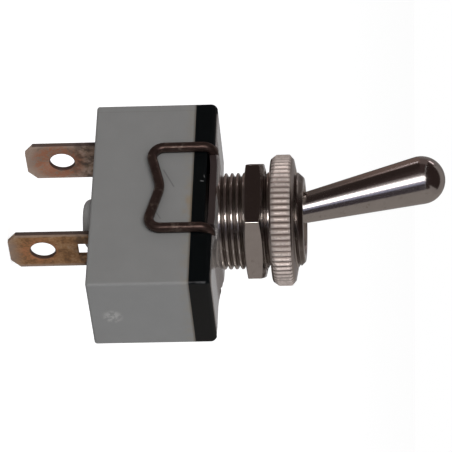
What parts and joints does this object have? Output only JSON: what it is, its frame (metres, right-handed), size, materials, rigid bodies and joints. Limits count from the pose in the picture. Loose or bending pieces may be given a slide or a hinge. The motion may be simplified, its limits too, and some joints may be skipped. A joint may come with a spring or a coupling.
{
  "type": "panel toggle switch",
  "caption": "Panel toggle switch with a bat lever in a threaded bush, hex and knurled nuts, grey and black moulded body held by two wire clips, and flat blade terminals.",
  "frame": {"origin": "on the bush axis, at the crown of the metal mounting plate that the bush stands on", "axes": "+Z out along the bush towards the lever; +X along the long side of the body, the way the lever travels, pointing to the side away from the lever at rest; +Y across the narrow depth"},
  "size_m": [0.0284, 0.0162, 0.054],
  "materials": {
    "grey_moulding": "satin grey thermoset",
    "black_moulding": "semi-gloss black",
    "plate_steel": "dull plated",
    "bright_nickel": "bright nickel plate on brass",
    "clip_wire": "drawn spring wire, darkened",
    "blade_brass": "tarnished",
    "spring_steel": "bright",
    "contact_silver": "satin",
    "nylon": "natural",
    "fibre": "vulcanised fibre"
  },
  "bodies": {
    "body": {"housing": "grey_moulding", "insulating_cover": "black_moulding", "mounting_plate": "plate_steel", "threaded_bush": "bright_nickel", "front_clip": "clip_wire", "back_clip": "clip_wire", "pivot_pin": "spring_steel", "common_foot": "blade_brass", "common_terminal": "blade_brass", "fixed_foot": "blade_brass", "fixed_terminal": "blade_brass", "fulcrum_bracket": "blade_brass", "common_rivet": "blade_brass", "fixed_rivet": "blade_brass", "fixed_contact": "contact_silver", "insulating_shield": "fibre"},
    "toggle": {"lever": "bright_nickel", "plunger_spring": "spring_steel"},
    "push_rod": {"plunger": "nylon"},
    "rocker": {"rocker_arm": "blade_brass", "moving_contact": "contact_silver"},
    "back_nut": {"hex_nut": "bright_nickel"},
    "ring_nut": {"knurled_nut": "bright_nickel"}
  },
  "joints": [
    {"name": "lever_swing", "type": "hinge", "parent": "body", "child": "toggle", "pos_m": [0, 0, 0.0035], "axis": [0, 1, 0], "range_deg": [0, 31.4]},
    {"name": "plunger_slide", "type": "slide", "parent": "toggle", "child": "push_rod", "axis": [-0.2706, 0, 0.9627], "range_m": [0, 0.0008], "stiffness_N_per_m": 400, "springref_m": -0.002, "deforming": ["plunger_spring"]},
    {"name": "rocker_tip", "type": "hinge", "parent": "body", "child": "rocker", "pos_m": [0, 0, -0.0096], "axis": [0, 1, 0], "range_deg": [-14.1, 0]},
    {"name": "hex_nut_turn", "type": "hinge", "parent": "body", "child": "back_nut", "pos_m": [0, 0, 0.00424], "axis": [0, 0, 1], "continuous": true},
    {"name": "knurled_nut_turn", "type": "hinge", "parent": "body", "child": "ring_nut", "pos_m": [0, 0, 0.0077], "axis": [0, 0, 1], "continuous": true}
  ],
  "couplings": [
    {"joint": "rocker_tip", "follows": "lever_swing", "ratio": -0.44586}
  ]
}
